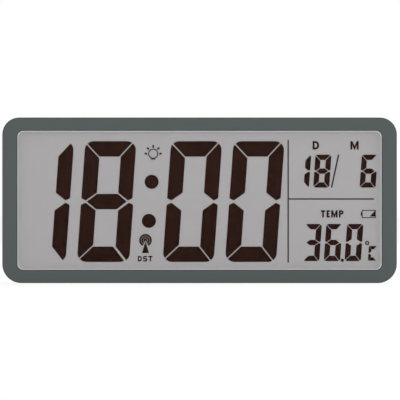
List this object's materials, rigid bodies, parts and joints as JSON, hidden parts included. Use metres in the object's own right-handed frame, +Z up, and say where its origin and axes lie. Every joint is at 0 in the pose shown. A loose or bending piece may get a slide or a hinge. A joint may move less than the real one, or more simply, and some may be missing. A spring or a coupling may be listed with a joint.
{
  "type": "digital clock",
  "caption": "Wide low digital clock with a large segment display in a rounded slate-grey case, a folding stand, wall keyholes and a battery box behind a hinged door.",
  "frame": {"origin": "middle of the flat base, half way through the depth", "axes": "+X along the width to the reader's right, +Y from the display to the back, +Z up"},
  "size_m": [0.22, 0.028, 0.0923],
  "materials": {
    "case_plastic": "fine matt moulded, slate grey",
    "window_plastic": "clear polished",
    "tape": "matt black adhesive foam",
    "film": "clear film",
    "display_glass": "clear float glass",
    "seal": "satin",
    "segments": "dark, flat",
    "rear_film": "grey reflective film",
    "guide_plastic": "clear",
    "reflector": "white",
    "lamp": "satin",
    "holder_plastic": "white moulded",
    "strip_rubber": "soft, striped",
    "board": "green lacquer",
    "resin": "black resin",
    "can_steel": "drawn can",
    "can_aluminium": "sleeved can",
    "ferrite": "ground, dark grey",
    "copper": "enamelled copper",
    "switch_plastic": "black moulded",
    "button_rubber": "matt dark",
    "screw_steel": "zinc plated",
    "ribbon": "grey flat cable",
    "cell_jacket": "plain printed jacket",
    "contact_steel": "nickel plated",
    "red_wire": "insulated",
    "black_wire": "insulated"
  },
  "bodies": {
    "case": {"front_bezel": "case_plastic", "rear_housing": "case_plastic", "display_window": "window_plastic", "window_tape": "tape", "lcd_front_polariser": "film", "lcd_front_glass": "display_glass", "lcd_rear_glass": "display_glass", "lcd_cell_seal": "seal", "time_digits": "segments", "colon_dots": "segments", "date_digits": "segments", "temperature_digits": "segments", "display_rules": "segments", "lcd_rear_polariser": "rear_film", "light_guide": "guide_plastic", "reflector_sheet": "reflector", "backlight_leds": "lamp", "display_holder": "holder_plastic", "lcd_connector_strip": "strip_rubber", "main_board": "board", "key_board": "board", "led_board": "board", "chip_blob": "resin", "radio_chip": "resin", "temperature_sensor": "resin", "quartz_crystal": "can_steel", "capacitor": "can_aluminium", "antenna_rod": "ferrite", "antenna_coil": "copper", "antenna_leads": "copper", "key_switches": "switch_plastic", "housing_screws": "screw_steel", "key_board_screws": "screw_steel", "key_ribbon": "ribbon", "battery_cells": "cell_jacket", "battery_springs": "contact_steel", "positive_plate": "contact_steel", "negative_plate": "contact_steel", "bridge_plate": "contact_steel", "battery_lead_red": "red_wire", "battery_lead_black": "black_wire"},
    "stand": {"folding_stand": "case_plastic"},
    "battery_door": {"battery_door": "case_plastic", "battery_door_latch": "case_plastic"},
    "button_set": {"button_set": "button_rubber", "switch_plunger_set": "switch_plastic"},
    "button_up": {"button_up": "button_rubber", "switch_plunger_up": "switch_plastic"},
    "button_down": {"button_down": "button_rubber", "switch_plunger_down": "switch_plastic"},
    "button_wave": {"button_wave": "button_rubber", "switch_plunger_wave": "switch_plastic"},
    "button_light": {"button_light": "button_rubber", "switch_plunger_light": "switch_plastic"}
  },
  "joints": [
    {"name": "stand_hinge", "type": "hinge", "parent": "case", "child": "stand", "pos_m": [0, 0.0119, 0.062], "axis": [1, 0, 0], "range_deg": [0, 40]},
    {"name": "battery_door_hinge", "type": "hinge", "parent": "case", "child": "battery_door", "pos_m": [0.0362, 0.0126, 0.03876], "axis": [0, 0, 1], "range_deg": [0, 90], "deforming": ["battery_door_latch"]},
    {"name": "button_set_press", "type": "slide", "parent": "case", "child": "button_set", "axis": [0, -1, 0], "range_m": [0, 0.0005], "stiffness_N_per_m": 800},
    {"name": "button_up_press", "type": "slide", "parent": "case", "child": "button_up", "axis": [0, -1, 0], "range_m": [0, 0.0005], "stiffness_N_per_m": 800},
    {"name": "button_down_press", "type": "slide", "parent": "case", "child": "button_down", "axis": [0, -1, 0], "range_m": [0, 0.0005], "stiffness_N_per_m": 800},
    {"name": "button_wave_press", "type": "slide", "parent": "case", "child": "button_wave", "axis": [0, -1, 0], "range_m": [0, 0.0005], "stiffness_N_per_m": 800},
    {"name": "button_light_press", "type": "slide", "parent": "case", "child": "button_light", "axis": [0, -1, 0], "range_m": [0, 0.0005], "stiffness_N_per_m": 800}
  ]
}
